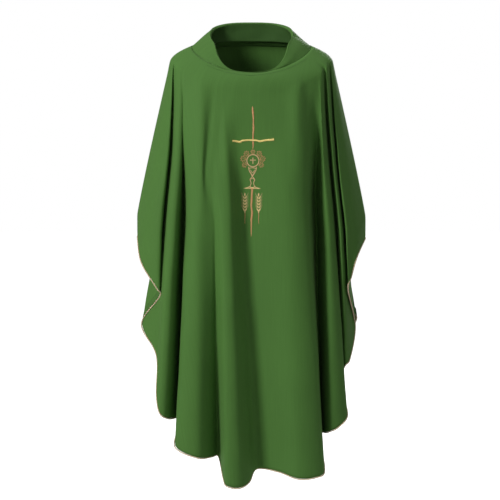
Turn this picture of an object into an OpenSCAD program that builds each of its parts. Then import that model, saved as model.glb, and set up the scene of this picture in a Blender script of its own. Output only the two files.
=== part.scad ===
// Chasuble: a sleeveless outer vestment as it hangs when worn.
// Origin midway between the two neck points, where the shoulders carry the cloth.
// +Z up, -Y towards the front, +X towards the wearer's left.

/* [Body cloth] */
// Drop from the neck points to the front hem
drop_front = 1240; // [1100:1:1400]
// Drop from the neck points to the back hem
drop_back = 1228; // [1100:1:1400]
// Drop from the neck points to the wing tip beside the arm
drop_side = 545; // [440:1:660]
// Half width across the shoulders
shoulder_half_w = 238; // [200:1:290]
// Half width across the wings
wing_half_w = 328; // [290:1:400]
// Depth of the front hem, forward of the neck points
depth_front = 178; // [150:1:215]
// Depth of the back hem, behind the neck points
depth_back = 165; // [140:1:200]
// Thickness of the solid that stands for the cloth
cloth_t = 2; // [1.6:0.1:3]

/* [Folds] */
// Scale of every fold's depth
fold_scale = 1; // [0:0.05:1.2]

/* [Neck opening] */
// Half width of the neckline, seam to seam
neck_half_w = 170; // [140:1:185]
// Neckline's reach forward
neck_front = 105; // [85:1:115]
// Neckline's reach back
neck_back = 85; // [70:1:95]
// How far the front of the neckline dips
neck_dip = 87; // [60:1:100]
// How far the back of the neckline rises
neck_rise = 8; // [0:1:15]
// Width of the facing turned in along the neckline
neck_facing_w = 30; // [20:1:40]

/* [Cowl collar] */
// Half width of the collar's rolled edge
roll_half_w = 118; // [95:1:125]
// Rolled edge's height above the neck points at the back
collar_rise = 58; // [40:1:90]
// Rolled edge's reach back
roll_back = 78; // [60:1:82]
// Gap between the collar's two layers
collar_gap = 7; // [5:0.5:10]

/* [Edge] */
// Diameter of the gold and ivory piping
piping_d = 4; // [3:0.5:5]
// Width of the facing turned in along the hem
hem_facing_w = 28; // [15:1:40]

/* [Shoulder seams] */
// Width of the tape inside each shoulder seam
tape_w = 16; // [10:1:24]

/* [Embroidery] */
// Height of the embroidery, staff to post tip
emb_h = 360; // [320:1:400]
// Length of the crossbar
bar_l = 115; // [90:1:140]
// Outside diameter of the medallion ring
ring_d = 36; // [28:1:44]
// Thickness of the raised thread
thread_t = 1.2; // [0.8:0.1:2]
// Width of a line of satin stitch
stitch_w = 2.4; // [1.6:0.1:3.5]

/* [Hidden] */

green = [0.12, 0.30, 0.07];
deep_green = [0.08, 0.22, 0.05];
gold = [0.86, 0.70, 0.36];
copper = [0.70, 0.46, 0.26];
ivory = [0.90, 0.84, 0.72];
tape_white = [0.88, 0.87, 0.82];

clearance = 0.5;       // between layers that lie face to face
columns = 48;          // cloth columns across a panel
rows = 15;             // cloth rows from the shoulder turn to the hem
turn_rows = 4;         // cloth rows over the shoulder turn
knee = 560;            // drop below which the cloth hangs plumb
squareness = 0.8;      // power of the rounded plan outline
turn_side = 55;        // drop of the shoulder turn at the sides
turn_front = 95;       // further drop of the turn at centre front
turn_back = 56;        // further drop of the turn at centre back
shoulder_d = 85;       // drop where the cloth is as wide as the shoulders
hem_round = 3.5;       // how square the cut of the hem is
hem_fall = 0.833;

// Valleys between the hanging folds: [place around, half width, depth, drop where it starts].
// Places are in degrees round the body from centre front, positive to the wearer's left.
valleys = [[-75, 7, 22, 330], [-53, 6, 46, 70], [-38, 5, 62, 110], [-15, 8, 26, 520],
           [6, 9, 22, 640], [37, 7, 62, 90], [46, 4, 34, 70], [54, 5, 40, 200],
           [76, 7, 22, 330], [110, 7, 30, 300], [132, 7, 46, 90], [156, 8, 34, 420],
           [182, 9, 26, 600], [207, 8, 34, 420], [229, 7, 46, 90], [251, 7, 30, 300]];

// ---- the draped surface ----
function sgn_pow(v, p) = sign(v) * pow(abs(v), p);
function soft_over(d) = (sqrt((d - knee) * (d - knee) + 6400) + d - knee) / 2;
function half_w(d) = shoulder_half_w + (wing_half_w - shoulder_half_w)
                     * (d - shoulder_d - soft_over(d)) / (knee - shoulder_d);
function reach_front(d) = depth_front - 82 * exp(-d / 280);
function reach_back(d) = depth_back - 75 * exp(-d / 260);
function bump(u) = abs(u) >= 1 ? 0 : pow(cos(90 * u), 2);
function fold_at(a, d) = fold_scale * sum_folds(a, d, len(valleys) - 1);
function sum_folds(a, d, i) = i < 0 ? 0 : sum_folds(a, d, i - 1) + one_fold(a, d, valleys[i]);
function wrap(a) = a > 180 ? a - 360 : a < -180 ? a + 360 : a;
function one_fold(a, d, v) = d <= v[3] ? 0
    : v[2] * bump(wrap(a - v[0]) / v[1]) * pow((d - v[3]) / (drop_front - v[3]), 0.8);
function plan(a, w, f, b) = [w * sgn_pow(sin(a), squareness),
                             -(cos(a) > 0 ? f : b) * sgn_pow(cos(a), squareness)];
function section(a, d) = let (p = plan(a, half_w(d), reach_front(d), reach_back(d)),
                              r = norm(p)) p * (r - fold_at(a, d)) / r;

// neckline, seen as a loop round the neck
function neck_z(a) = cos(a) > 0 ? -neck_dip * pow(cos(a), 1.3) : -neck_rise * cos(a);
function neck_xy(a) = [neck_half_w * sin(a), -(cos(a) > 0 ? neck_front : neck_back) * cos(a)];
function neck_pt(a) = [each neck_xy(a), neck_z(a)];
function turn_d(a) = turn_side + (cos(a) > 0 ? turn_front : turn_back) * pow(cos(a), 2);
function drop_of(a) = drop_side + ((cos(a) > 0 ? drop_front : drop_back) - drop_side)
                      * pow(1 - pow(abs(sin(a)), hem_round), hem_fall);

function bezier(p, q, r, t) = (1 - t) * (1 - t) * p + 2 * t * (1 - t) * q + t * t * r;
function turn_corner(a) = let (n = neck_xy(a), s = section(a, turn_d(a)) * 0.985)
    [each s, neck_z(a) - 0.36 * norm(s - n)];
function turn_end(a) = [each section(a, turn_d(a)), -turn_d(a)];
// One point of the cloth: t is 0 at the neckline, 1 at the shoulder turn, 2 at the hem.
function cloth(a, t) = t <= 1 ? bezier(neck_pt(a), turn_corner(a), turn_end(a), t)
    : let (d = turn_d(a) + (drop_of(a) - turn_d(a)) * (t - 1)) [each section(a, d), -d];

function unit(v) = v / norm(v);
function normal_at(a, t) = let (s = 0.02, t0 = max(0, t - s), t1 = min(2, t + s))
    unit(cross(cloth(a + 1, t) - cloth(a - 1, t), cloth(a, t0) - cloth(a, t1)));
// The cloth's inner side lies inset deep under its outer side.
function under(a, t, inset) = cloth(a, t) - inset * normal_at(a, t);

// ---- solids from grids ----
function flat_list(g) = [for (r = g) each r];
function quad(a, b, c, d) = [[a, b, c], [a, c, d]];
// A thin shell between two grids of the same size, outer and inner, open at both ends.
module shell_between(outer, inner, closed = false) {
    m = len(outer);
    n = len(outer[0]);
    k = m * n;
    last = closed ? n : n - 1;
    faces = [for (i = [0 : m - 2], j = [0 : last - 1])
                 let (p = i * n + j, q = i * n + (j + 1) % n)
                 each concat(quad(p, p + n, q + n, q), quad(k + p, k + q, k + q + n, k + p + n)),
             for (j = [0 : last - 1]) let (p = j, q = (j + 1) % n) each quad(p, q, k + q, k + p),
             for (j = [0 : last - 1]) let (p = (m - 1) * n + j, q = (m - 1) * n + (j + 1) % n)
                 each quad(q, p, k + p, k + q),
             if (!closed) for (i = [0 : m - 2]) let (p = i * n) each quad(p + n, p, k + p, k + p + n),
             if (!closed) for (i = [0 : m - 2]) let (p = i * n + n - 1)
                 each quad(p, p + n, k + p + n, k + p)];
    polyhedron(concat(flat_list(outer), flat_list(inner)), [for (f = faces) [f[2], f[1], f[0]]]);
}
// A round tube swept along a list of points.
module tube(path, d, sides = 6) {
    n = len(path);
    rings = [for (i = [0 : n - 1])
        let (t = unit(path[min(i + 1, n - 1)] - path[max(i - 1, 0)]),
             u = unit(cross(t, [0, 0.05, 1])), v = cross(u, t))
        [for (k = [0 : sides - 1]) path[i] + d / 2 * (cos(360 * k / sides) * u + sin(360 * k / sides) * v)]];
    faces = [for (i = [0 : n - 2], k = [0 : sides - 1])
                 let (p = i * sides + k, q = i * sides + (k + 1) % sides)
                 each quad(p, q, q + sides, p + sides),
             [for (k = [sides - 1 : -1 : 0]) k],
             [for (k = [0 : sides - 1]) (n - 1) * sides + k]];
    polyhedron(flat_list(rings), [for (f = faces) [for (k = [len(f) - 1 : -1 : 0]) f[k]]]);
}

// ---- body cloth ----
seam_gap = 0.1;  // degrees left open at each shoulder seam
row_ts = [for (i = [0 : turn_rows - 1]) i / turn_rows, for (i = [0 : rows]) 1 + i / rows];
module panel(middle) {
    angles = [for (j = [0 : columns]) middle - 90 + seam_gap + (180 - 2 * seam_gap) * j / columns];
    shell_between([for (t = row_ts) [for (a = angles) cloth(a, t)]],
                  [for (t = row_ts) [for (a = angles) under(a, t, cloth_t)]]);
}
module front_panel() { color(green) panel(0); }
module back_panel() { color(green) panel(180); }

// ---- turned-in pieces, lying against the inner side of the cloth ----
module inner_strip(angles, ts, thick = 1.2) {
    shell_between([for (t = ts) [for (a = angles) under(a, t, cloth_t + clearance)]],
                  [for (t = ts) [for (a = angles) under(a, t, cloth_t + clearance + thick)]],
                  closed = abs(angles[0] + 360 - angles[len(angles) - 1]) < 20);
}
function facing_t(a) = 2 - hem_facing_w / (drop_of(a) - turn_d(a));
module hem_facing(middle) {
    margin = 1.5;
    angles = [for (j = [0 : columns]) middle - 90 + margin + (180 - 2 * margin) * j / columns];
    outer = [for (s = [0, 0.5, 1]) [for (a = angles)
                under(a, facing_t(a) * (1 - s) + (2 - 0.004) * s, cloth_t + clearance)]];
    inner = [for (s = [0, 0.5, 1]) [for (a = angles)
                under(a, facing_t(a) * (1 - s) + (2 - 0.004) * s, cloth_t + clearance + 1.2)]];
    shell_between(outer, inner);
}
module hem_facing_front() { color(green) hem_facing(0); }
module hem_facing_back() { color(green) hem_facing(180); }

neck_turn_l = 95;  // length of the shoulder turn that the facing's share is measured on
module neck_facing() {
    color(green) inner_strip([for (a = [-90 : 3.75 : 266.25]) a],
                             [0.04, neck_facing_w / neck_turn_l / 2, neck_facing_w / neck_turn_l]);
}
module shoulder_tape(side) {
    ts = [0.42, 0.7, 1, 1.15, 1.3, 1.45, 1.6, 1.75, 1.9];
    spread = tape_w / 2;
    outer = [for (t = ts) [for (s = [-1, 0, 1])
        let (p = under(90 * side, t, cloth_t + clearance + 1.5)) p + [0, s * side * spread, 0]]];
    inner = [for (r = outer) [for (p = r) p + [-side, 0, -0.6]]];
    shell_between(outer, inner);
}
module shoulder_tape_left() { color(tape_white) shoulder_tape(1); }
module shoulder_tape_right() { color(tape_white) shoulder_tape(-1); }

// ---- piping along the hem ----
module piping(middle) {
    margin = 0.6;
    lift = piping_d / 2 + 0.05;
    angles = [for (j = [0 : columns]) middle - 90 + margin + (180 - 2 * margin) * j / columns];
    tube([for (a = angles) under(a, 2, cloth_t / 2) + lift * unit(cloth(a, 2) - cloth(a, 1.97))], piping_d);
}
module hem_piping_front() { color(ivory) piping(0); }
module hem_piping_back() { color(ivory) piping(180); }

// ---- cowl collar ----
roll_side = 20;        // height of the rolled edge beside the neck
roll_low = 40;         // how far below the neck points the roll would reach in front
roll_starts = 15;      // degrees from centre front where the collar starts to stand up
roll_grown = 68;       // degrees from centre front where it has its full width
edge_in = 9;           // the collar's low front edge, inside the neckline
edge_up = 6;           // and above it
function ease(u) = let (k = min(max(u, 0), 1)) k * k * (3 - 2 * k);
function grown(a) = cos(a) < 0 ? 1 : ease((abs(wrap(a)) - roll_starts) / (roll_grown - roll_starts));
function low_edge(a) = [(neck_half_w - edge_in) * sin(a), -(neck_front - edge_in) * cos(a),
                        neck_z(a) + edge_up];
function roll_front_pt(a) = [roll_half_w * sin(a), -(neck_front - edge_in) * cos(a),
                             roll_side - (roll_side + roll_low) * pow(cos(a), 1.2)];
function roll_back_pt(a) = [roll_half_w * sgn_pow(sin(a), 0.75), roll_back * pow(-cos(a), 0.85),
                            roll_side + (collar_rise - roll_side) * pow(-cos(a), 0.6)];
function roll_pt(a) = cos(a) < 0 ? roll_back_pt(a)
    : low_edge(a) * (1 - grown(a)) + roll_front_pt(a) * grown(a);
function collar_pt(a, t, inset) =
    let (n = neck_pt(a) + [0, 0, 1.2], r = roll_pt(a), out = unit([sin(a), -cos(a), 0]),
         swell = 0.16 * norm(r - n))
    bezier(n, (n + r) / 2 + out * swell + [0, 0, 0.1 * swell], r, t) - inset * out;
collar_angles = [for (a = [0 : 6 : 354]) a];
collar_ts = [0, 0.25, 0.5, 0.75, 1];
lining_t = 1.2;
module collar_layer(inset, thick) {
    shell_between([for (t = collar_ts) [for (a = collar_angles) collar_pt(a, 1 - t, inset)]],
                  [for (t = collar_ts) [for (a = collar_angles) collar_pt(a, 1 - t, inset + thick)]],
                  closed = true);
}
module collar_outer() { color(green) collar_layer(0, cloth_t); }
module collar_lining() { color(deep_green) collar_layer(cloth_t + collar_gap, cloth_t); }
module collar_interlining() {
    color(tape_white) collar_layer(cloth_t + (collar_gap - lining_t) / 2, lining_t);
}

// ---- embroidery, laid on the chest ----
emb_top = 178;                       // drop of the post's tip
bar_drop = 97;                       // crossbar below the tip
ring_drop = 151;                     // medallion below the tip
leaf_l = 15;                         // length of a vine leaf
cup_top = ring_drop + ring_d / 2;    // the cup hangs from the ring
cup_h = 24;
knop_h = 34;
foot_drop = cup_top + cup_h + knop_h;
ear_gap = 19;                        // ears stand this far from the staff
ear_h = 54;
sink = 0.4;                          // thread sewn into the cloth

// Lays a flat motif on the cloth at a given distance below the post's tip.
module on_chest(below) {
    d = emb_top + below;
    slope = atan((reach_front(d + 1) - reach_front(d - 1)) / 2);
    translate([0, -reach_front(d) + sink, -d]) rotate([90 - slope, 0, 0]) linear_extrude(thread_t + sink)
        children();
}
// A hand-drawn looking rod: widest at its waist, worn to points.
module rod(l, w) {
    polygon([[0, 0], [w / 2, -l * 0.12], [w * 0.35, -l * 0.4], [w * 0.5, -l * 0.62], [w * 0.3, -l * 0.85],
             [0, -l], [-w * 0.35, -l * 0.8], [-w * 0.4, -l * 0.5], [-w * 0.5, -l * 0.3], [-w * 0.4, -l * 0.1]]);
}
// The outline of a shape, as wide as a line of stitching.
module outline(w = stitch_w) {
    difference() {
        children();
        offset(delta = -w) children();
    }
}
function leaf_r(k) = leaf_l / 2 * (k % 2 == 0 ? 1 : 0.62);
module leaf() {
    difference() {
        polygon([for (k = [0 : 9]) leaf_r(k) * [sin(36 * k), cos(36 * k)]]);
        polygon([for (k = [0 : 9]) leaf_r(k) * 0.62 * [sin(36 * k), cos(36 * k)]]);
    }
}
module grain(l) {
    hull() {
        circle(d = l * 0.5, $fn = 16);
        translate([0, l * 0.6]) circle(d = l * 0.16, $fn = 16);
    }
}
module cross_post() { color(copper) on_chest(0) rod(ring_drop - ring_d / 2 - leaf_l - 2, 5); }
module cross_bar() {
    color(gold) translate([0, -thread_t - clearance, 0]) on_chest(bar_drop)
        polygon([[-bar_l / 2, 2.2], [-bar_l / 6, 1.8], [bar_l / 6, 2], [bar_l / 2, 3.4], [bar_l / 2, -0.6],
                 [bar_l / 5, -2.4], [-bar_l / 6, -0.8], [-bar_l / 3, -3], [-bar_l / 2, -2]]);
}
module medallion_ring() {
    color(copper) on_chest(ring_drop) difference() {
        circle(d = ring_d, $fn = 48);
        circle(d = ring_d - 2 * stitch_w, $fn = 48);
    }
}
module medallion_cross() {
    arm = ring_d * 0.5;
    color(gold) on_chest(ring_drop) union() {
        square([arm, stitch_w], center = true);
        square([stitch_w, arm], center = true);
    }
}
module vine_leaves() {
    reach = ring_d / 2 + leaf_l / 2 + 0.6;
    color(copper) for (a = [-105, -70, -35, 0, 35, 70, 105]) {
        below = ring_drop - reach * cos(a);
        translate([reach * sin(a), 0, 0]) on_chest(below) rotate(-a) leaf();
    }
}
module chalice_cup() {
    w = 13;
    gap = 0.6;
    color(copper) on_chest(cup_top + gap) difference() {
        polygon([[-w, 0], [w, 0], [w * 0.8, -cup_h * 0.5], [0, -cup_h], [-w * 0.8, -cup_h * 0.5]]);
        polygon([[-w + 3, -2.2], [w - 3, -2.2], [w * 0.6, -cup_h * 0.45], [0, -cup_h + 5],
                 [-w * 0.6, -cup_h * 0.45]]);
    }
}
module chalice_knop() {
    w = 5.5;
    color(copper) on_chest(cup_top + cup_h + 1.2) difference() {
        polygon([[0, 0], [w, -knop_h * 0.3], [w * 0.4, -knop_h * 0.6], [w, -knop_h + 2], [-w, -knop_h + 2],
                 [-w * 0.4, -knop_h * 0.6], [-w, -knop_h * 0.3]]);
        translate([0, -knop_h * 0.32]) circle(d = w * 0.7, $fn = 20);
    }
}
module chalice_foot() {
    w = 23;
    color(gold) on_chest(foot_drop) polygon([[-w, -1], [-8, 1.2], [8, 1.2], [w, -1], [8, -1.8], [-8, -1.8]]);
}
module lower_staff() { color(copper) on_chest(foot_drop + 2.4) rod(emb_h - foot_drop - 2.4, 5); }
module wheat_ear(side) {
    top = foot_drop + 8;
    grain_l = 9;
    pairs = 6;
    pitch = (ear_h - grain_l) / pairs;
    color(gold) for (k = [0 : pairs - 1]) translate([side * ear_gap, 0, 0]) on_chest(top + grain_l + pitch * k)
        union() for (s = [-1, 1]) translate([s * 2.3, 0]) rotate(-s * 24) grain(grain_l * 0.9);
}
module wheat_ear_left() { wheat_ear(1); }
module wheat_ear_right() { wheat_ear(-1); }
module wheat_stalks() {
    color(copper) for (s = [-1, 1]) translate([s * ear_gap, 0, 0]) on_chest(foot_drop + 8 + ear_h)
        polygon([[-0.8, 0], [0.8, 0], [0.6, -34], [-0.6, -34]]);
}
// Non-woven backing behind the stitching, on the inner side of the front.
module embroidery_backing() {
    half = 42;
    ts_n = 8;
    function at(d, x, inset) = [x, -reach_front(d) + cloth_t + clearance + inset, -d];
    ds = [for (k = [0 : ts_n]) emb_top - 10 + (emb_h + 20) * k / ts_n];
    color(tape_white) shell_between([for (d = ds) [for (x = [-half, 0, half]) at(d, x, 0.8)]],
                                    [for (d = ds) [for (x = [-half, 0, half]) at(d, x, 1.8)]]);
}

front_panel();
back_panel();
collar_outer();
collar_lining();
collar_interlining();
neck_facing();
shoulder_tape_left();
shoulder_tape_right();
hem_piping_front();
hem_piping_back();
hem_facing_front();
hem_facing_back();
embroidery_backing();
cross_post();
cross_bar();
medallion_ring();
medallion_cross();
vine_leaves();
chalice_cup();
chalice_knop();
chalice_foot();
lower_staff();
wheat_ear_left();
wheat_ear_right();
wheat_stalks();
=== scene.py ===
import bpy, bmesh, math
from mathutils import Matrix, Vector, noise
from mathutils.bvhtree import BVHTree


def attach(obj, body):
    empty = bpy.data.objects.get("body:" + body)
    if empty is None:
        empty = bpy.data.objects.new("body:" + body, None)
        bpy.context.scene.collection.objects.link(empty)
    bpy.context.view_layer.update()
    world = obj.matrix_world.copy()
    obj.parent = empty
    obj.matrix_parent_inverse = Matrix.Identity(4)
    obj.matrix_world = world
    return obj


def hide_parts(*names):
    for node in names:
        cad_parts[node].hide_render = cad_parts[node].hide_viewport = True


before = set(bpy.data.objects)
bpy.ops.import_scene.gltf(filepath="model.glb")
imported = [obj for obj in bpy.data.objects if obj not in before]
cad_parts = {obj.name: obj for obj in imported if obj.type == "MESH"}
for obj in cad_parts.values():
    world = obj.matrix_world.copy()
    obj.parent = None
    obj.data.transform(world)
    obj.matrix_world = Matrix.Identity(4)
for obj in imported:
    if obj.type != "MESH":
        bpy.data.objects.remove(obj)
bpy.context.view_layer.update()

# ---------------------------------------------------------------- the studio
# A plain pale floor in a white room. The garment hangs at shoulder height over it, lit by
# four soft boxes: a key from the left, a weaker fill, one overhead and one behind.
floor_z = -1.48


def into_scene(bm, name):
    """The finished bmesh as an object at the origin, smooth shaded."""
    mesh = bpy.data.meshes.new(name)
    bm.to_mesh(mesh)
    bm.free()
    mesh.shade_smooth()
    piece = bpy.data.objects.new(name, mesh)
    bpy.context.scene.collection.objects.link(piece)
    return piece


bm = bmesh.new()
bmesh.ops.create_circle(bm, cap_ends=True, segments=96, radius=14)
bmesh.ops.translate(bm, vec=(0, 0, floor_z), verts=bm.verts)
floor = into_scene(bm, "studio_floor")
paint = bpy.data.materials.new("pale_floor")
paint.use_nodes = True
pale = paint.node_tree.nodes["Principled BSDF"]
pale.inputs["Base Color"].default_value = (0.6, 0.6, 0.59, 1)
pale.inputs["Roughness"].default_value = 0.9
pale.inputs["Emission Color"].default_value = (1, 1, 1, 1)
glance = paint.node_tree.nodes.new("ShaderNodeLightPath")
glow = paint.node_tree.nodes.new("ShaderNodeMapRange")
glow.inputs["To Max"].default_value = 1.0
paint.node_tree.links.new(glance.outputs["Is Camera Ray"], glow.inputs["Value"])
paint.node_tree.links.new(glow.outputs[0], pale.inputs["Emission Strength"])
floor.data.materials.append(paint)


def soft_box(name, place, aim, size, watts):
    lamp = bpy.data.lights.new(name, "AREA")
    lamp.shape = "RECTANGLE"
    lamp.size, lamp.size_y = size
    lamp.energy = watts
    piece = bpy.data.objects.new(name, lamp)
    piece.location = place
    piece.rotation_euler = (Vector(aim) - Vector(place)).to_track_quat("-Z", "Y").to_euler()
    bpy.context.scene.collection.objects.link(piece)


soft_box("key_light", (-3.0, -2.45, 1.5), (0, 0, -0.5), (1.0, 1.6), 138)
soft_box("fill_light", (2.8, -3.4, 0.2), (0, 0, -0.7), (1.8, 2.2), 13)
soft_box("top_light", (0.2, 0.2, 2.6), (0, 0, -0.6), (2.2, 1.6), 26)
soft_box("back_light", (1.3, 3.7, 1.4), (0, 0, -0.5), (1.0, 1.6), 95)
world = bpy.data.worlds.new("studio")
bpy.context.scene.world = world
world.use_nodes = True
room = world.node_tree.nodes["Background"]
room.inputs["Color"].default_value = (1, 1, 1, 1)
seen = world.node_tree.nodes.new("ShaderNodeLightPath")
white = world.node_tree.nodes.new("ShaderNodeMapRange")
white.inputs["To Min"].default_value = 0.14
white.inputs["To Max"].default_value = 1.0
world.node_tree.links.new(seen.outputs["Is Camera Ray"], white.inputs["Value"])
world.node_tree.links.new(white.outputs[0], room.inputs["Strength"])

lens = bpy.data.cameras.new("camera")
lens.sensor_width = 36
lens.lens = 126.3
camera = bpy.data.objects.new("camera", lens)
bpy.context.scene.collection.objects.link(camera)
aim = Vector((-0.004, 0, -0.587))
camera.location = aim + Vector((0, -5 * math.cos(math.radians(4.5)), 5 * math.sin(math.radians(4.5))))
camera.rotation_euler = (aim - camera.location).to_track_quat("-Z", "Y").to_euler()
bpy.context.scene.camera = camera

bpy.context.scene.view_settings.view_transform = "Standard"

# ---------------------------------------------------------------- body cloth
# Front and back are two half rounds of light woven cloth, cut 1.5 m across, joined by a seam
# along each shoulder and arm. They turn over the shoulders and hang in folds from there.
neck_half_w, neck_front, neck_back = 0.170, 0.105, 0.085
neck_dip, neck_rise, neck_sag = 0.087, 0.008, 0.009

# Each fold line runs from the shoulder to the hem: where it leaves the shoulder, in degrees round
# the body, the drop where the fold starts, its plan place halfway down, and its end at the hem.
front_folds = [
    (-90, 90, (-325, -1), (-325, -1, -545)), (-83, 40, (-302, -64), (-311, -56, -615)),
    (-76, 35, (-264, -94), (-266, -94, -685)), (-72, 35, (-251, -84), (-258, -80, -710)),
    (-68, 35, (-264, -30), (-313, -18, -795)), (-63, 35, (-245, -74), (-268, -82, -875)),
    (-59, 45, (-238, -100), (-267, -104, -984)), (-55, 60, (-226, -118), (-257, -122, -1035)),
    (-50, 90, (-206, -110), (-232, -108, -1053)), (-46, 110, (-192, -34), (-200, -14, -1070)),
    (-41, 110, (-180, -124), (-215, -132, -1126)), (-31, 90, (-150, -156), (-150, -162, -1154)),
    (-21, 340, (-112, -152), (-112, -116, -1160)), (-18, 340, (-100, -150), (-93, -90, -1164)),
    (-16, 340, (-90, -160), (-79, -142, -1216)), (-14, 260, (-76, -170), (-68, -172, -1232)),
    (-12, 160, (-54, -168), (-32, -172, -1237)), (-9, 100, (-38, -140), (-5, -140, -1226)),
    (-5, 100, (-14, -130), (16, -104, -1196)), (5, 160, (40, -150), (78, -132, -1200)),
    (16, 120, (98, -166), (130, -164, -1213)), (27, 80, (142, -158), (182, -156, -1210)),
    (33, 110, (162, -132), (206, -124, -1195)), (39, 110, (182, -34), (196, -12, -1117)),
    (45, 100, (203, -104), (214, -104, -1092)), (50, 80, (218, -118), (244, -114, -1076)),
    (55, 50, (233, -98), (272, -84, -1042)), (59, 35, (241, -40), (250, -12, -965)),
    (63, 35, (246, -98), (263, -82, -908)), (67, 35, (256, -92), (279, -66, -888)),
    (71, 35, (268, -32), (296, -16, -801)), (76, 35, (264, -94), (271, -94, -691)),
    (80, 35, (280, -86), (280, -86, -656)), (85, 40, (303, -62), (297, -74, -600)),
    (90, 90, (325, -1), (325, -1, -552))]
back_folds = [
    (90, 90, (325, 1), (325, 1, -550)), (96, 40, (316, 44), (300, 66, -610)),
    (101, 40, (298, 78), (276, 88, -672)), (106, 40, (272, 88), (262, 86, -738)),
    (110, 60, (264, 34), (302, 22, -780)), (114, 60, (262, 92), (274, 76, -842)),
    (119, 60, (254, 98), (258, 98, -908)), (124, 60, (240, 112), (262, 116, -978)),
    (129, 90, (220, 118), (240, 122, -1024)), (133, 90, (206, 38), (208, 14, -1052)),
    (137, 90, (196, 116), (216, 118, -1086)), (142, 110, (178, 130), (208, 138, -1118)),
    (147, 160, (156, 140), (180, 150, -1142)), (152, 160, (140, 96), (150, 60, -1160)),
    (157, 160, (120, 142), (136, 148, -1178)), (163, 200, (92, 152), (104, 162, -1204)),
    (169, 260, (60, 150), (70, 150, -1220)), (173, 300, (38, 112), (44, 84, -1214)),
    (177, 300, (14, 146), (18, 150, -1218)), (183, 240, (-18, 154), (-16, 164, -1228)),
    (189, 240, (-48, 148), (-50, 146, -1224)), (193, 260, (-70, 104), (-74, 74, -1212)),
    (197, 200, (-88, 144), (-96, 150, -1208)), (204, 160, (-120, 148), (-134, 160, -1188)),
    (210, 130, (-146, 138), (-168, 150, -1162)), (215, 110, (-168, 128), (-194, 136, -1134)),
    (220, 110, (-184, 112), (-214, 120, -1100)), (225, 90, (-196, 30), (-200, 12, -1082)),
    (230, 90, (-214, 112), (-234, 118, -1040)), (236, 60, (-238, 108), (-258, 112, -988)),
    (243, 60, (-254, 90), (-262, 88, -906)), (248, 60, (-266, 36), (-304, 22, -808)),
    (252, 60, (-270, 88), (-272, 80, -756)), (258, 40, (-296, 80), (-270, 88, -680)),
    (264, 40, (-316, 42), (-302, 64, -606)), (270, 90, (-325, 1), (-325, 1, -545))]


def signed(value, power):
    return math.copysign(abs(value) ** power, value)


shoulder_half_w, shoulder_d, wing_growth, wing_slope_d = 0.238, 0.085, 0.0985, 0.475
plumb_drop, plumb_ease = 0.560, 0.0064


def half_width(drop):
    """Half the width at this drop: it grows along the sloping shoulder, then hangs plumb."""
    below = drop - plumb_drop
    plumb = (math.sqrt(below * below + plumb_ease) + below) / 2
    return shoulder_half_w + wing_growth * (drop - shoulder_d - plumb) / wing_slope_d


# How deep the garment stands in front and behind, how much less at the neck, and how fast it
# fills out below it; then how squarely it hangs in plan.
depth_front, chest_taper, chest_fall = 0.178, 0.082, 0.28
depth_back, back_taper, back_fall = 0.165, 0.075, 0.26
plan_power = 0.8


def smooth_plan(angle, drop):
    """Where unfolded cloth would hang, this far round the body and this far down."""
    s, c = math.sin(math.radians(angle)), math.cos(math.radians(angle))
    if c > 0:
        reach = depth_front - chest_taper * math.exp(-drop / chest_fall)
    else:
        reach = depth_back - back_taper * math.exp(-drop / back_fall)
    return Vector((half_width(drop) * signed(s, plan_power), -reach * signed(c, plan_power)))


def neckline(angle):
    s, c = math.sin(math.radians(angle)), math.cos(math.radians(angle))
    height = -neck_dip * c ** 1.3 if c > 0 else -neck_rise * c
    sag = neck_sag * s ** 6
    return Vector((neck_half_w * s, -(neck_front if c > 0 else neck_back) * c, height - sag))


turn_side, turn_front, turn_back = 0.055, 0.095, 0.056


def turn_drop(angle):
    """How far down the cloth has turned from lying on the shoulders to hanging."""
    c = math.cos(math.radians(angle))
    return turn_side + (turn_front if c > 0 else turn_back) * c * c


# The bend over the shoulder; the drop of each fold's middle place, and how far above a short hem
# it stays; and the start, in millimetres, above which a fold opens fast.
bend_in, bend_slope = 0.985, 0.36
middle_drop, short_hem, hem_margin = 0.53, 0.62, 0.06
fast_start = 95


def on_fold(fold, t):
    """A point on a fold line: t is 0 at the neckline, 1 where the cloth has turned down and
    2 at the hem."""
    angle, start, mid, hem = fold
    turn = turn_drop(angle)
    edge = smooth_plan(angle, turn)
    hem_drop = -hem[2] / 1000
    if t <= 1:
        top = neckline(angle)
        corner = Vector((edge.x * bend_in, edge.y * bend_in, top.z - bend_slope * (edge - top.xy).length))
        place = (1 - t) ** 2 * top + 2 * t * (1 - t) * corner + t * t * Vector((edge.x, edge.y, -turn))
        drop = -place.z
        ease = t * t
    else:
        drop = turn + (hem_drop - turn) * (t - 1)
        place = Vector((*smooth_plan(angle, drop), -drop))
        ease = 1
    if drop <= start / 1000:
        return place
    mid_drop = middle_drop if hem_drop > short_hem else hem_drop - hem_margin
    along = min(max((drop - start / 1000) / (mid_drop - start / 1000), 0), 1)
    share = along * (2 - along) if start < fast_start else along * along * (3 - 2 * along)
    low = min(max((drop - mid_drop) / (hem_drop - mid_drop), 0), 1)
    folded = Vector(mid).lerp(Vector(hem[:2]), low) / 1000
    folded.x *= min(half_width(drop) / half_width(mid_drop), 1)
    shift = (folded - smooth_plan(angle, drop)) * share * ease
    return place + Vector((shift.x, shift.y, 0))


def between(points, u):
    """The smooth curve through the points, u counted in points."""
    k = min(int(u), len(points) - 2)
    t = u - k
    p0, p1, p2, p3 = (points[min(max(k + i, 0), len(points) - 1)] for i in (-1, 0, 1, 2))
    return 0.5 * (2 * p1 + (p2 - p0) * t + (2 * p0 - 5 * p1 + 4 * p2 - p3) * t * t
                  + (3 * p1 - p0 - 3 * p2 + p3) * t ** 3)


per_fold, turn_rows, hang_rows = 4, 9, 56
ripple_broad, ripple_fine = 0.0024, 0.0009


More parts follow.
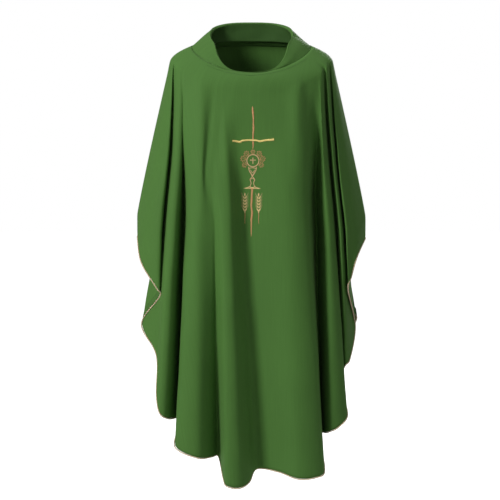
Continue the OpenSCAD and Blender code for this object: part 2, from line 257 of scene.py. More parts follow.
def cut_panel(name, folds):
    """A grid of cloth laid along the fold lines; its rows come back with it so flat_uvs can give it UVs
    of its flat size in metres.
    """
    across, down = (len(folds) - 1) * per_fold, turn_rows + hang_rows
    bm = bmesh.new()
    bmesh.ops.create_grid(bm, x_segments=across, y_segments=down, size=1)
    bm.verts.ensure_lookup_table()
    rows = []
    for i in range(down + 1):
        t = i / turn_rows if i <= turn_rows else 1 + (i - turn_rows) / hang_rows
        line = [on_fold(fold, t) for fold in folds]
        rows.append([between(line, j / per_fold) for j in range(across + 1)])
    for i, row in enumerate(rows):
        for j, p in enumerate(row):
            share = min(i / 8, (down - i) / 6, j / 8, (across - j) / 8, 1)
            fine = noise.noise(Vector((p.x * 30, p.y * 30, p.z * 14)))
            ripple = ripple_broad * noise.noise(p * 8) + ripple_fine * fine
            p += Vector((p.x, 2 * p.y, 0)).normalized() * share * ripple
    for v in bm.verts:
        i = round((1 - v.co.y) / 2 * down)
        j = round((v.co.x + 1) / 2 * across)
        v.co = rows[i][j]
        v.index = i * (across + 1) + j
    bm.verts.sort()
    return bm, rows


def flat_uvs(bm, rows):
    across = len(rows[0]) - 1
    along = [[0.0] for _ in rows]
    for i, row in enumerate(rows):
        for a, b in zip(row, row[1:]):
            along[i].append(along[i][-1] + (b - a).length)
        half = along[i][across // 2]
        along[i] = [x - half for x in along[i]]
    down = [[0.0] * (across + 1)]
    for a, b in zip(rows, rows[1:]):
        down.append([d + (q - p).length for d, p, q in zip(down[-1], a, b)])
    uv = bm.loops.layers.uv.new("flat")
    for face in bm.faces:
        for loop in face.loops:
            i, j = divmod(loop.vert.index, across + 1)
            loop[uv].uv = (along[i][j], -down[i][j])


panels = {}
for name, folds in (("front_panel", front_folds), ("back_panel", back_folds)):
    bm, rows = cut_panel(name, folds)
    flat_uvs(bm, rows)
    bmesh.ops.recalc_face_normals(bm, faces=bm.faces)
    middle = min(bm.faces, key=lambda f: (f.calc_center_median() - Vector((0, 0, -0.7))).length)
    if middle.normal.y * (1 if name == "front_panel" else -1) > 0:
        bmesh.ops.reverse_faces(bm, faces=bm.faces)
    panels[name] = (into_scene(bm, name + "_cloth"), rows)

front_cloth, back_cloth = panels["front_panel"][0], panels["back_panel"][0]
for panel in (front_cloth, back_cloth):
    rounder = panel.modifiers.new("rounding", "SUBSURF")
    rounder.levels = rounder.render_levels = 1
    wall = panel.modifiers.new("thickness", "SOLIDIFY")
    wall.thickness = 0.0009
    wall.offset = -1
for node, panel in (("front_panel", front_cloth), ("back_panel", back_cloth)):
    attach(panel, "root")
    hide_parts(node)


def woven_group():
    """Cloth seen close: warp and weft threads, uneven yarn, and faint shifts of the dye."""
    group = bpy.data.node_groups.new("woven_cloth", "ShaderNodeTree")
    for name, kind in (("Thread Pitch", "NodeSocketFloat"), ("Cloth Color", "NodeSocketColor")):
        group.interface.new_socket(name, in_out="INPUT", socket_type=kind)
    for name, kind in (("Color", "NodeSocketColor"), ("Roughness", "NodeSocketFloat"),
                       ("Normal", "NodeSocketVector")):
        group.interface.new_socket(name, in_out="OUTPUT", socket_type=kind)
    add, link = group.nodes.new, group.links.new
    given, made = add("NodeGroupInput"), add("NodeGroupOutput")
    place = add("ShaderNodeTexCoord")
    rate = add("ShaderNodeMath")
    rate.operation = "DIVIDE"
    rate.inputs[0].default_value = 0.31416
    link(given.outputs["Thread Pitch"], rate.inputs[1])
    threads = []
    for direction in ("X", "Y"):
        wave = add("ShaderNodeTexWave")
        wave.bands_direction = direction
        wave.inputs["Distortion"].default_value = 0.6
        wave.inputs["Detail"].default_value = 1
        wave.inputs["Detail Scale"].default_value = 0.4
        link(place.outputs["UV"], wave.inputs["Vector"])
        link(rate.outputs[0], wave.inputs["Scale"])
        threads.append(wave)
    weave = add("ShaderNodeMath")
    weave.operation = "MAXIMUM"
    link(threads[0].outputs["Fac"], weave.inputs[0])
    link(threads[1].outputs["Fac"], weave.inputs[1])
    yarn_map = add("ShaderNodeMapping")
    yarn_map.inputs["Scale"].default_value = (420, 9, 1)
    link(place.outputs["UV"], yarn_map.inputs["Vector"])
    yarn = add("ShaderNodeTexNoise")
    yarn.inputs["Scale"].default_value = 1
    yarn.inputs["Detail"].default_value = 3
    link(yarn_map.outputs["Vector"], yarn.inputs["Vector"])
    dye = add("ShaderNodeTexNoise")
    dye.inputs["Scale"].default_value = 5
    dye.inputs["Detail"].default_value = 2
    link(place.outputs["Object"], dye.inputs["Vector"])
    shade = add("ShaderNodeMapRange")
    shade.inputs["To Min"].default_value = 0.86
    shade.inputs["To Max"].default_value = 1.12
    link(yarn.outputs["Fac"], shade.inputs["Value"])
    tone = add("ShaderNodeMapRange")
    tone.inputs["To Min"].default_value = 0.93
    tone.inputs["To Max"].default_value = 1.07
    link(dye.outputs["Fac"], tone.inputs["Value"])
    both = add("ShaderNodeMath")
    both.operation = "MULTIPLY"
    link(shade.outputs[0], both.inputs[0])
    link(tone.outputs[0], both.inputs[1])
    dyed = add("ShaderNodeVectorMath")
    dyed.operation = "SCALE"
    link(given.outputs["Cloth Color"], dyed.inputs[0])
    link(both.outputs[0], dyed.inputs["Scale"])
    link(dyed.outputs[0], made.inputs["Color"])
    dull = add("ShaderNodeMapRange")
    dull.inputs["To Min"].default_value = 0.9
    dull.inputs["To Max"].default_value = 0.72
    link(weave.outputs[0], dull.inputs["Value"])
    link(dull.outputs[0], made.inputs["Roughness"])
    relief = add("ShaderNodeBump")
    relief.inputs["Strength"].default_value = 0.35
    relief.inputs["Distance"].default_value = 0.0002
    link(weave.outputs[0], relief.inputs["Height"])
    slub = add("ShaderNodeBump")
    slub.inputs["Strength"].default_value = 0.25
    slub.inputs["Distance"].default_value = 0.0003
    link(yarn.outputs["Fac"], slub.inputs["Height"])
    link(relief.outputs["Normal"], slub.inputs["Normal"])
    link(slub.outputs["Normal"], made.inputs["Normal"])
    return group


woven = woven_group()


def cloth_finish(name, color, pitch, sheen, sheen_tint):
    """Matt woven cloth with a soft bloom along its folds."""
    finish = bpy.data.materials.new(name)
    finish.use_nodes = True
    shader = finish.node_tree.nodes["Principled BSDF"]
    weave = finish.node_tree.nodes.new("ShaderNodeGroup")
    weave.node_tree = woven
    weave.inputs["Thread Pitch"].default_value = pitch
    weave.inputs["Cloth Color"].default_value = (*color, 1)
    finish.node_tree.links.new(weave.outputs["Color"], shader.inputs["Base Color"])
    finish.node_tree.links.new(weave.outputs["Roughness"], shader.inputs["Roughness"])
    finish.node_tree.links.new(weave.outputs["Normal"], shader.inputs["Normal"])
    shader.inputs["Specular IOR Level"].default_value = 0.25
    shader.inputs["Sheen Weight"].default_value = sheen
    shader.inputs["Sheen Roughness"].default_value = 0.5
    shader.inputs["Sheen Tint"].default_value = (*sheen_tint, 1)
    return finish


green_cloth = cloth_finish("green_cloth", (0.072, 0.185, 0.034), 0.0009, 0.12, (0.45, 0.7, 0.3))
front_cloth.data.materials.append(green_cloth)
back_cloth.data.materials.append(green_cloth)


# ---------------------------------------------------------------- turned-in edges and seam tapes
# The neckline and the hem are faced with strips of the same cloth, turned to the inside and
# sewn flat. A white cotton tape runs down the inside of each shoulder seam and holds its length.


def surface_of(piece):
    """The panel as it hangs, for laying other pieces on it."""
    bpy.context.view_layer.update()
    mesh = piece.evaluated_get(bpy.context.evaluated_depsgraph_get()).to_mesh()
    return BVHTree.FromPolygons([v.co.copy() for v in mesh.vertices],
                                [list(p.vertices) for p in mesh.polygons])


def across_cloth(rows, i, j):
    """The direction square to the panel at a grid point."""
    across = rows[i][min(j + 1, len(rows[i]) - 1)] - rows[i][max(j - 1, 0)]
    down = rows[min(i + 1, len(rows) - 1)][j] - rows[max(i - 1, 0)][j]
    return across.cross(down).normalized()


def wearer_side(panel, rows):
    """1 where across_cloth points to the wearer on this panel, -1 where it points away."""
    towards = Vector((0, 1 if panel == "front_panel" else -1, 0))
    return 1 if across_cloth(rows, 30, len(rows[0]) // 2).dot(towards) > 0 else -1


def strip_cloth(name, strips, wall, material, node):
    """Bands of cloth, each given as rows of points and their own flat width."""
    bm = bmesh.new()
    uv = bm.loops.layers.uv.new("flat")
    for rows in strips:
        grid = [[bm.verts.new(p) for p in row] for row in rows]
        lengths = [0.0]
        for a, b in zip(rows[0], rows[0][1:]):
            lengths.append(lengths[-1] + (b - a).length)
        for i in range(len(grid) - 1):
            for j in range(len(grid[0]) - 1):
                corners = (grid[i][j], grid[i][j + 1], grid[i + 1][j + 1], grid[i + 1][j])
                face = bm.faces.new(corners)
                for loop, (di, dj) in zip(face.loops, ((0, 0), (0, 1), (1, 1), (1, 0))):
                    step = (rows[i + 1][j] - rows[i][j]).length
                    loop[uv].uv = (lengths[j + dj], -(i + di) * step)
    piece = into_scene(bm, name)
    thick = piece.modifiers.new("thickness", "SOLIDIFY")
    thick.thickness = wall
    thick.offset = 0
    piece.data.materials.append(material)
    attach(piece, "root")
    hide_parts(node)
    return piece


def faced(rows, picks, columns, gap):
    """Rows of points just inside the panel; picks are fractions of a row index."""
    band = []
    for pick in picks:
        i = min(int(pick), len(rows) - 2)
        band.append([rows[i][j].lerp(rows[i + 1][j], pick - i) + gap * across_cloth(rows, i, j)
                     for j in columns])
    return band


facing_cloth = cloth_finish("facing_cloth", (0.062, 0.160, 0.030), 0.0009, 0.08, (0.45, 0.7, 0.3))
strip_wall, facing_gap = 0.0006, 0.0016
hem_facing_w, hem_row_step = 0.022, 0.42
neck_bands = []
for panel, (cloth, rows) in panels.items():
    side = panel.split("_")[0]
    gap = facing_gap * wearer_side(panel, rows)
    last = len(rows) - 1
    hem_band = faced(rows, [last - k * hem_row_step for k in range(5)], range(1, len(rows[0]) - 1), gap)
    facing = strip_cloth(f"hem_facing_{side}_cloth", [hem_band], strip_wall, facing_cloth,
                         f"hem_facing_{side}")
    neck_bands.append(faced(rows, [0.25, 0.9, 1.6, 2.3], range(len(rows[0])), gap))

neck_facing = strip_cloth("neck_facing_cloth", neck_bands, strip_wall, facing_cloth, "neck_facing")

tape_white = cloth_finish("seam_tape", (0.72, 0.70, 0.64), 0.0007, 0.05, (1, 1, 1))
tape_w, tape_gap, tape_bow = 0.014, 0.0022, 0.002
rows = panels["front_panel"][1]
for side, column, out in (("left", -1, 1), ("right", 0, -1)):
    run = [row[column] for row in rows[4:-2]]
    band = [[p + Vector((-out * (tape_gap + tape_bow * abs(k)), k * 0.007, 0)) for p in run]
            for k in (-1, 0, 1)]
    tape = strip_cloth(f"shoulder_tape_{side}_cloth", [band], strip_wall, tape_white,
                       f"shoulder_tape_{side}")

# ---------------------------------------------------------------- cowl collar
# A deep bias-cut band, sewn into the neckline and rolled outwards: a face cloth, a soft
# interlining and a lining of the same green cloth, its colour darkened to paint the shade inside
# the collar. It stands up behind the neck and dies away in front.
collar_rise, roll_side, roll_low = 0.057, 0.020, 0.040
roll_half_w, roll_front, roll_back = 0.118, 0.096, 0.078
roll_starts, roll_growth = 15, 53
layer_gap, full_span = 0.0042, 0.022
seam_in, seam_down = 0.0012, 0.0014


def roll_line(angle):
    """The rolled edge; in front it sinks into the neck seam."""
    s, c = math.sin(math.radians(angle)), math.cos(math.radians(angle))
    if c <= 0:
        return Vector((roll_half_w * signed(s, 0.75), roll_back * signed(-c, 0.85),
                       roll_side + (collar_rise - roll_side) * (-c) ** 0.6))
    round_neck = math.degrees(math.acos(c))
    grown = min(max((round_neck - roll_starts) / roll_growth, 0), 1)
    grown *= grown * (3 - 2 * grown)
    stood = Vector((roll_half_w * s, -roll_front * c, roll_side - (roll_side + roll_low) * c ** 1.2))
    return (neckline(angle) + Vector((-0.0012 * s, 0.0016 * c, 0.0016))).lerp(stood, grown)


def collar_shape(angle, t, inset):
    """A point of the collar: t is 0 in the neck seam and 1 at the roll; inset is to its inside."""
    s, c = math.sin(math.radians(angle)), math.cos(math.radians(angle))
    out = Vector((s, -c, 0))
    seam, roll = neckline(angle) - seam_in * out - Vector((0, 0, seam_down)), roll_line(angle)
    span = (roll - seam).length
    wave = noise.noise(Vector((s * 2.1, c * 2.1, 1.7 + t)))
    fullness = 0.12 * max(-out.y, 0) + 0.03 + 0.06 * wave
    bulge = (seam + roll) / 2 + out * span * fullness + Vector((0, 0, 0.015 * span))
    point = (1 - t) ** 2 * seam + 2 * t * (1 - t) * bulge + t * t * roll
    point += out * 0.003 * math.sin(math.pi * t) * noise.noise(Vector((angle * 0.045, t * 1.5, 9)))
    stand = roll - seam
    inside = (stand.dot(out) * Vector((0, 0, 1)) - stand.z * out).normalized()
    return point + inside * inset * min(span / full_span, 1)


collar_steps = 120
column_w, row_h = 0.0072, 0.006


def collar_cloth(name, profile, last_row, node, material, wall):
    """One layer of the collar; profile gives a point for an angle and a row."""
    bm = bmesh.new()
    tag, level = bm.verts.layers.int.new("column"), bm.verts.layers.int.new("row")
    ring = bmesh.ops.create_circle(bm, segments=collar_steps, radius=1)["verts"]
    ring.sort(key=lambda v: math.atan2(v.co.y, v.co.x))
    edges = list(bm.edges)
    for k, v in enumerate(ring):
        v[tag] = k
        v.co = profile(360 * k / collar_steps, 0)
    for row in range(1, last_row + 1):
        grown = bmesh.ops.extrude_edge_only(bm, edges=edges)["geom"]
        edges = [g for g in grown if isinstance(g, bmesh.types.BMEdge)
                 and all(v in grown for v in g.verts)]
        for v in (g for g in grown if isinstance(g, bmesh.types.BMVert)):
            v.co = profile(360 * v[tag] / collar_steps, row)
            v[level] = row
    uv = bm.loops.layers.uv.new("flat")
    for face in bm.faces:
        wraps = max(v[tag] for v in face.verts) - min(v[tag] for v in face.verts) > 2
        for loop in face.loops:
            column = loop.vert[tag] + (collar_steps if wraps and loop.vert[tag] < 2 else 0)
            loop[uv].uv = (column * column_w, loop.vert[level] * row_h)

    # Extruding hands the rings back in no fixed order, so everything is put in order here.
    def spot(v):
        return v[level] * collar_steps + v[tag]

    def order(part):
        spots = [spot(v) for v in part.verts]
        return min(spots) * 10000 + max(spots)
    bm.verts.sort(key=spot)
    bm.edges.sort(key=order)
    bm.faces.sort(key=order)
    bmesh.ops.recalc_face_normals(bm, faces=bm.faces)
    piece = into_scene(bm, name)
    rounder = piece.modifiers.new("rounding", "SUBSURF")
    rounder.levels = rounder.render_levels = 1
    thick = piece.modifiers.new("thickness", "SOLIDIFY")
    thick.thickness = wall
    thick.offset = 0
    piece.data.materials.append(material)
    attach(piece, "root")
    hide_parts(node)


face_rows, roll_rows, lining_rows, canvas_rows = 14, 6, 12, 8


def outer_profile(angle, row):
    """Up the outside of the collar, then over the roll."""
    if row <= face_rows:
        return collar_shape(angle, row / face_rows, 0)
    turn = math.pi * (row - face_rows) / roll_rows
    top = collar_shape(angle, 1, layer_gap * (1 - math.cos(turn)))
    width = (roll_line(angle) - neckline(angle)).length
    return top + Vector((0, 0, layer_gap * math.sin(turn) * min(width / full_span, 1)))


def lining_profile(angle, row):
    """Down the inside, from just under the roll to the neck seam."""
    return collar_shape(angle, 0.985 - 0.965 * row / lining_rows, 2 * layer_gap + 0.0006)


def canvas_profile(angle, row):
    """Between the two, clear of the seam and of the roll."""
    return collar_shape(angle, 0.22 + 0.62 * row / canvas_rows, layer_gap)


collar_green = cloth_finish("collar_cloth", (0.068, 0.172, 0.032), 0.0009, 0.12, (0.45, 0.7, 0.3))
# The lining is the face green darkened: painted shade for the inside of the collar.
lining_green_painted_shade = cloth_finish("collar_lining_cloth", (0.040, 0.105, 0.020), 0.0008, 0.06, (0.45, 0.7, 0.3))
canvas_white = cloth_finish("collar_canvas", (0.70, 0.68, 0.62), 0.0012, 0.02, (1, 1, 1))
collar_cloth("collar_outer_cloth", outer_profile, face_rows + roll_rows, "collar_outer",
             collar_green, 0.0008)
collar_cloth("collar_lining_cloth", lining_profile, lining_rows, "collar_lining",
             lining_green_painted_shade, 0.0008)
collar_cloth("collar_canvas_cloth", canvas_profile, canvas_rows, "collar_interlining",
             canvas_white, 0.0006)

# ---------------------------------------------------------------- piping along the hem
# A two-ply cord, one ply ivory cotton and one gilt thread, laid up with an even twist and
# oversewn to the raw edge of each half from wing tip to wing tip.
piping_d, twist_pitch, twist_steps = 0.004, 0.009, 8
ply_offset, ply_radius, sewn_in = 0.24 * piping_d, 0.27 * piping_d, 0.0004


def thread_finish(name, color, roughness, metallic, pitch, tilt):
    """Cotton or floss: fine lines of yarn lying side by side, brighter in places."""
    finish = bpy.data.materials.new(name)
    finish.use_nodes = True
    tree = finish.node_tree
    shader = tree.nodes["Principled BSDF"]
    place = tree.nodes.new("ShaderNodeTexCoord")
    turned = tree.nodes.new("ShaderNodeMapping")
    turned.inputs["Rotation"].default_value = tilt
    floss = tree.nodes.new("ShaderNodeTexWave")
    floss.bands_direction = "Z"
    floss.inputs["Scale"].default_value = 0.31416 / pitch
    floss.inputs["Distortion"].default_value = 0.8
    floss.inputs["Detail"].default_value = 1
    shine = tree.nodes.new("ShaderNodeTexNoise")
    shine.inputs["Scale"].default_value = 160
    ramp = tree.nodes.new("ShaderNodeMapRange")
    ramp.inputs["To Min"].default_value = 0.78
    ramp.inputs["To Max"].default_value = 1.15
    patch = tree.nodes.new("ShaderNodeMapRange")
    patch.inputs["To Min"].default_value = 0.8
    patch.inputs["To Max"].default_value = 1.2
    both = tree.nodes.new("ShaderNodeMath")
    both.operation = "MULTIPLY"
    dyed = tree.nodes.new("ShaderNodeVectorMath")
    dyed.operation = "SCALE"
    dyed.inputs[0].default_value = color
    relief = tree.nodes.new("ShaderNodeBump")
    relief.inputs["Strength"].default_value = 0.6
    relief.inputs["Distance"].default_value = 0.0002
    link = tree.links.new
    link(place.outputs["Object"], turned.inputs["Vector"])
    link(turned.outputs["Vector"], floss.inputs["Vector"])
    link(place.outputs["Object"], shine.inputs["Vector"])
    link(floss.outputs["Fac"], ramp.inputs["Value"])
    link(shine.outputs["Fac"], patch.inputs["Value"])
    link(ramp.outputs[0], both.inputs[0])
    link(patch.outputs[0], both.inputs[1])
    link(both.outputs[0], dyed.inputs["Scale"])
    link(dyed.outputs[0], shader.inputs["Base Color"])
    link(floss.outputs["Fac"], relief.inputs["Height"])
    link(relief.outputs["Normal"], shader.inputs["Normal"])
    shader.inputs["Roughness"].default_value = roughness
    shader.inputs["Metallic"].default_value = metallic
    return finish


ivory_ply = thread_finish("ivory_cotton", (0.93, 0.83, 0.66), 0.6, 0.0, 0.0006, (0.4, 0.3, 0))
gilt_ply = thread_finish("gilt_ply", (0.70, 0.48, 0.24), 0.38, 0.2, 0.0006, (0.4, 0.3, 0))


def even_steps(path, step):
    """The same path with its points a fixed distance apart."""
    even, carried = [path[0].copy()], 0.0
    for a, b in zip(path, path[1:]):
        length = (b - a).length
        while carried + length >= step:
            a = a.lerp(b, (step - carried) / length)
            length = (b - a).length
            even.append(a.copy())
            carried = 0.0
        carried += length
    return even


def cords(name, runs, sides=2):
    """Round threads along lists of (point, radius), as one mesh."""
    line = bpy.data.curves.new(name, "CURVE")
    line.dimensions = "3D"
    line.bevel_depth = 1
    line.bevel_resolution = sides
    line.use_fill_caps = True
    for run, closed in runs:
        spline = line.splines.new("POLY")
        spline.points.add(len(run) - 1)
        for point, (place, radius) in zip(spline.points, run):
            point.co = (*place, 1)
            point.radius = radius
        spline.use_cyclic_u = closed
    thread = bpy.data.objects.new(name, line)
    bpy.context.scene.collection.objects.link(thread)
    bpy.context.view_layer.update()
    mesh = bpy.data.meshes.new_from_object(thread.evaluated_get(bpy.context.evaluated_depsgraph_get()))
    bpy.data.objects.remove(thread)
    bpy.data.curves.remove(line)
    bm = bmesh.new()
    bm.from_mesh(mesh)
    bpy.data.meshes.remove(mesh)
    return bm


for panel, (cloth, rows) in panels.items():
    side = panel.split("_")[0]
    edge = [p + (p - q).normalized() * (piping_d / 2 - sewn_in) for p, q in zip(rows[-1], rows[-2])]
    smooth_edge = [between(edge, k / 4) for k in range(4 * (len(edge) - 1) + 1)]
    route = even_steps(smooth_edge, twist_pitch / twist_steps)
    plies = {"ivory": [], "gilt": []}
    for n, here in enumerate(route):
        ahead = (route[min(n + 1, len(route) - 1)] - route[max(n - 1, 0)]).normalized()
        up = ahead.cross(Vector((0, 0.02, 1))).normalized()
        turn = Matrix.Rotation(2 * math.pi * n / twist_steps, 3, ahead)
        for ply, sign in (("ivory", 1), ("gilt", -1)):
            plies[ply].append((here + turn @ up * sign * ply_offset, ply_radius))
    for ply, finish in (("ivory", ivory_ply), ("gilt", gilt_ply)):
        bm = cords(f"hem_piping_{side}_{ply}", [(plies[ply], False)], 1)
        piece = into_scene(bm, f"hem_piping_{side}_{ply}")
        piece.data.materials.append(finish)
        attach(piece, "root")
        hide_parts(f"hem_piping_{side}")

# ---------------------------------------------------------------- stitching at the front neck
# A single row of stitches holds the facing down a finger's width below the front neckline, where
# the collar has died away. The thread matches the cloth.
stitch_pitch, stitch_r, stitch_inset, stitched_columns = 0.0034, 0.00032, 0.012, 34
front_rows = panels["front_panel"][1]
centre = min(range(len(front_rows[0])), key=lambda j: abs(front_rows[0][j].x))
stitch_line = []
for j in range(centre - stitched_columns, centre + stitched_columns + 1):
    column = [row[j] for row in front_rows]
    here = top = column[0]
    for a, b in zip(column, column[1:]):
        if (b - top).length > stitch_inset:
            here = a.lerp(b, (stitch_inset - (a - top).length) / (b - a).length)
            break
    stitch_line.append(here)
stitch_out = across_cloth(front_rows, 3, centre)
if stitch_out.y > 0:
    stitch_out = -stitch_out
smooth_line = [between(stitch_line, k / 6) for k in range(6 * (len(stitch_line) - 1) + 1)]
stitch_route = even_steps(smooth_line, stitch_pitch / 4)
stitch_runs = []
for n in range(0, len(stitch_route) - 4, 4):
    lifts = (-0.0002, 0.0004, 0.0004, -0.0002)
    stitch = [(stitch_route[n + m] + stitch_out * lift, stitch_r) for m, lift in enumerate(lifts)]
    stitch_runs.append((stitch, False))
green_thread = thread_finish("green_thread", (0.040, 0.105, 0.020), 0.5, 0.0, 0.0004, (0.4, 0.3, 0))
stitching = into_scene(cords("neck_topstitch_thread", stitch_runs, 1), "neck_topstitch_thread")
stitching.data.materials.append(green_thread)
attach(stitching, "root")
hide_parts("neck_facing")

# ---------------------------------------------------------------- embroidery on the chest
# Machine embroidery in gilt and copper rayon: a rough-hewn cross whose foot is a chalice and a
# host ringed with vine leaves, over a staff between two ears of wheat. Every line is padded
# satin stitch, sewn through the front and a non-woven backing.
chest = surface_of(front_cloth)
centre_x, sunk = 0.006, 0.0002


def closed_stroke(line, width, rounded):
    """A loop of stitching, curved or with sharp turns."""
    loop = line[-1:] + line + line[:2]
    run = []
    for k in range(3 * len(line)):
        n = k // 3
        straight = loop[1 + n].lerp(loop[2 + n], k % 3 / 3)
        run.append((between(loop, 1 + k / 3) if rounded else straight, width / 2000))
    return run


def open_stroke(line, widths, steps=5):
    """A line of stitching whose width changes along it."""
    run = []
    for k in range(steps * (len(line) - 1) + 1):
        at = k / steps
        n = min(int(at), len(line) - 2)
        width = widths[n] + (widths[n + 1] - widths[n]) * (at - n)
        run.append((between(line, at), width / 2000))
    return run


def sewn(name, strokes, finish, node, rise=0.42, rounded=True):
    """Satin stitch along strokes of (points, widths), x and z in millimetres from the centre
    line; a stroke with one width is closed. rise is how high the padding stands."""
    runs = []
    for points, widths in strokes:
        line = [Vector((x / 1000, 0, z / 1000)) for x, z in points]
        closed = len(widths) == 1
        run = closed_stroke(line, widths[0], rounded) if closed else open_stroke(line, widths)
        runs.append((run, closed))
    bm = cords(name, runs, 2)
    for v in bm.verts:
        lift = -v.co.y * rise
        hit = chest.ray_cast(Vector((v.co.x + centre_x, -1, v.co.z)), Vector((0, 1, 0)))[0]
        v.co = Vector((v.co.x + centre_x, hit.y - sunk - lift, v.co.z))
    piece = into_scene(bm, name)
    piece.data.materials.append(finish)
    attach(piece, "root")
    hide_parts(node)


copper_floss = thread_finish("copper_floss", (0.64, 0.31, 0.13), 0.42, 0.15, 0.0007, (0.5, 0.25, 0))
bright_floss = thread_finish("bright_gold_floss", (1.0, 0.76, 0.25), 0.34, 0.1, 0.0007, (0.25, 0.9, 0))
wheat_floss = thread_finish("wheat_floss", (0.95, 0.66, 0.30), 0.40, 0.1, 0.0006, (0.5, 0.5, 0))
pale_floss = thread_finish("pale_copper_floss", (0.80, 0.50, 0.26), 0.42, 0.15, 0.0006, (0.6, 0.2, 0))

# The post and the staff are worn rods that bend a little and run out to points.
post = [(-2.9, -179), (-2.7, -186), (-1.8, -197), (-0.5, -212), (-0.7, -226), (0, -238),
        (-1.0, -252), (-1.6, -268), (-1.1, -284), (-2.2, -296)]
staff = [(-4.0, -405), (-4.2, -412), (-5.0, -425), (-5.4, -438), (-6.3, -454), (-4.4, -472),
         (-6.0, -491), (-6.3, -506), (-6.4, -518), (-6.5, -530), (-6.7, -539)]
bar = [(-58.5, -274.4), (-50, -274.8), (-38, -277), (-30, -273.6), (-18, -272.4), (-4, -272),
       (8, -272.8), (17, -275.2), (27, -273.4), (38, -271.8), (48, -271.4), (56, -270.4)]
sewn("cross_post_stitching", [(post, [0.8, 4.6, 5.2, 4.2, 3.8, 5.0, 3.8, 3.8, 4.0, 1.6])],
     copper_floss, "cross_post")
sewn("lower_staff_stitching", [(staff, [6.2, 5.0, 4.6, 5.4, 4.6, 5.4, 4.8, 3.8, 3.2, 2.4, 0.8])],
     copper_floss, "lower_staff")
sewn("cross_bar_stitching", [(bar, [5.2, 5.4, 6.0, 5.0, 4.6, 4.8, 4.6, 5.6, 5.0, 5.2, 6.2, 6.6])],
     bright_floss, "cross_bar", rise=0.55)

# The host is a plain ring with a small cross in it.
ring_r, ring_x, ring_z = 16.6, -2.0, -328.6
ring = [(ring_x + ring_r * math.cos(math.radians(a)), ring_z + ring_r * math.sin(math.radians(a)))
        for a in range(0, 360, 20)]
upright = [(ring_x, ring_z + 8.6), (ring_x, ring_z), (ring_x, ring_z - 8.6)]
arms = [(ring_x - 8, ring_z + 1.5), (ring_x, ring_z + 1.5), (ring_x + 8, ring_z + 1.5)]
sewn("medallion_ring_stitching", [(ring, [2.4])], pale_floss, "medallion_ring")
sewn("medallion_cross_stitching", [(upright, [2.2, 1.8, 2.2]), (arms, [2.2, 1.8, 2.2])],
     pale_floss, "medallion_cross")

# Seven five-lobed vine leaves stand round the ring, each an outline with a vein.
half_leaf = [(2.0, 6.0), (7.0, 9.4), (5.0, 3.6), (11.2, 2.6), (5.0, -0.8), (7.6, -6.2), (1.8, -4.4)]
leaf_lobes = [(0, 12.6)] + half_leaf + [(0, -8.0)] + [(-x, z) for x, z in reversed(half_leaf)]
leaf_strokes = []
leaf_turns = (-117, -79, -42, 0, 42, 79, 117)
for turn, size in zip(leaf_turns, (0.72, 0.84, 0.76, 0.62, 0.76, 0.84, 0.72)):
    c, s = math.cos(math.radians(turn)), math.sin(math.radians(turn))
    away = ring_r + 9.6 * size + 1.0

    def laid(x, z):
        x, z = x * size, z * size + away
        return (ring_x + x * c + z * s, ring_z - x * s + z * c)
    leaf_strokes.append(([laid(x, z) for x, z in leaf_lobes], [1.15]))
    leaf_strokes.append(([laid(0, 5), laid(0.4, 0), laid(0, -7)], [0.8, 1.2, 1.6]))
sewn("vine_leaf_stitching", leaf_strokes, copper_floss, "vine_leaves", rounded=False)

# The chalice: a pointed cup under the ring, an open knop, and a spread foot.
cup_side = [(-13.6, -345.4), (-13.2, -351), (-11, -358), (-7, -364.4), (-3, -370), (1, -364.4),
            (5, -358), (7.4, -351), (8, -345.4)]
cup_rim = [(-12.8, -350), (-7, -348.6), (-2.8, -348.2), (1.4, -348.6), (7.2, -350)]
cup_fold = [(-9, -354), (-2.8, -361.6), (3.4, -354)]
sewn("chalice_cup_stitching", [(cup_side, [1.8, 2.2, 2.4, 2.4, 3.2, 2.4, 2.4, 2.2, 1.8]),
     (cup_rim, [1.6, 1.8, 1.8, 1.8, 1.6]), (cup_fold, [1.4, 1.8, 1.4])],
     pale_floss, "chalice_cup")
knop_right = [(-1.4, -370), (-5.6, -375), (-9.8, -381), (-7.2, -388), (-7.4, -394), (-11, -401)]
knop_left = [(-5.4, -370), (-1.2, -375), (3.0, -381), (0.4, -388), (0.6, -394), (4.2, -401)]
knop_band = [(-6.8, -380), (-3.4, -377), (0, -380)]
knop_widths = [1.2, 1.8, 2.2, 1.8, 1.8, 1.6]
sewn("chalice_knop_stitching", [(knop_right, knop_widths), (knop_left, knop_widths),
     (knop_band, [1.4, 1.6, 1.4])], pale_floss, "chalice_knop")
foot_top = [(-27, -405.4), (-19, -403.8), (-11, -401.4), (-4, -403.2), (3, -401.4), (11, -403.8),
            (18.6, -405.4)]
foot_base = [(-23, -405.8), (-4, -405.2), (15, -405.8)]
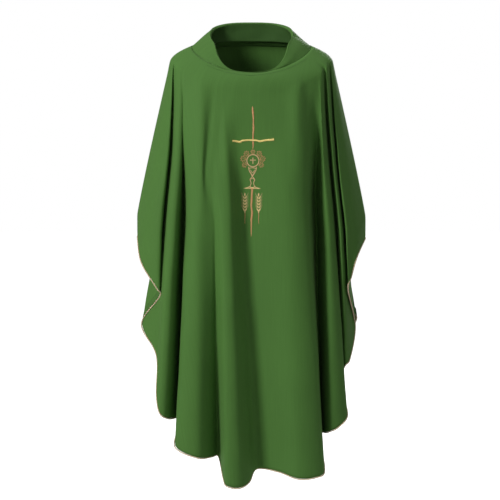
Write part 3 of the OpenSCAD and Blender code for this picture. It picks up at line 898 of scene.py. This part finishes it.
sewn("chalice_foot_stitching", [(foot_top, [0.9, 1.8, 2.2, 2.4, 2.2, 1.8, 0.9]),
     (foot_base, [0.9, 2.4, 0.9])], wheat_floss, "chalice_foot")

# Each ear has pairs of plump grains and fine awns round a stalk.
grain_pairs, grain_pitch, grain_top = 5, 8.4, -430.0
ears = (("right", -24.2), ("left", 13.9))
for side, ear_x in ears:
    grains, awns = [], []
    for k in range(grain_pairs):
        z = grain_top - grain_pitch * k
        for s in (-1, 1):
            grain = [(ear_x + s * x, z + up)
                     for x, up in ((0.3, -3.8), (1.9, -2.0), (4.0, 1.0), (5.8, 4.0))]
            awn = [(ear_x + s * x, z + up) for x, up in ((5.4, 3.4), (7.6, 7.4), (9.6, 12.6))]
            grains.append((grain, [1.4, 3.4, 2.9, 0.6]))
            awns.append((awn, [0.9, 0.7, 0.5]))
    grains.append(([(ear_x, -427), (ear_x, -422.4), (ear_x, -417.6)], [2.0, 3.8, 0.8]))
    grains.append(([(ear_x, -473), (ear_x, -470), (ear_x, -467)], [1.6, 3.4, 1.4]))
    node = f"wheat_ear_{side}"
    sewn(f"{node}_grains", grains, wheat_floss, node, rise=0.5)
    sewn(f"{node}_awns", awns, pale_floss, node)
stalks = [([(x, -472), (x + 0.4, -482), (x - 0.2, -492), (x + 0.2, -503)], [1.6, 1.6, 1.3, 1.0])
          for side, x in ears]
sewn("wheat_stalk_stitching", stalks, copper_floss, "wheat_stalks")

# The backing is a light white felted sheet, trimmed square behind the stitching.
felt = cloth_finish("felted_backing", (0.74, 0.73, 0.70), 0.0011, 0.05, (1, 1, 1))
backing_w, backing_h, backing_top, backing_gap = 0.084, 0.396, -0.166, 0.0016
backing_rows = []
for n in range(27):
    z = backing_top - backing_h * n / 26
    row = []
    for m in range(9):
        x = centre_x - backing_w / 2 + backing_w / 8 * m
        hit = chest.ray_cast(Vector((x, 0.02, z)), Vector((0, -1, 0)))[0]
        row.append(Vector((x, hit.y + backing_gap, z)))
    backing_rows.append(row)
backing = strip_cloth("embroidery_backing_felt", [backing_rows], strip_wall, felt, "embroidery_backing")
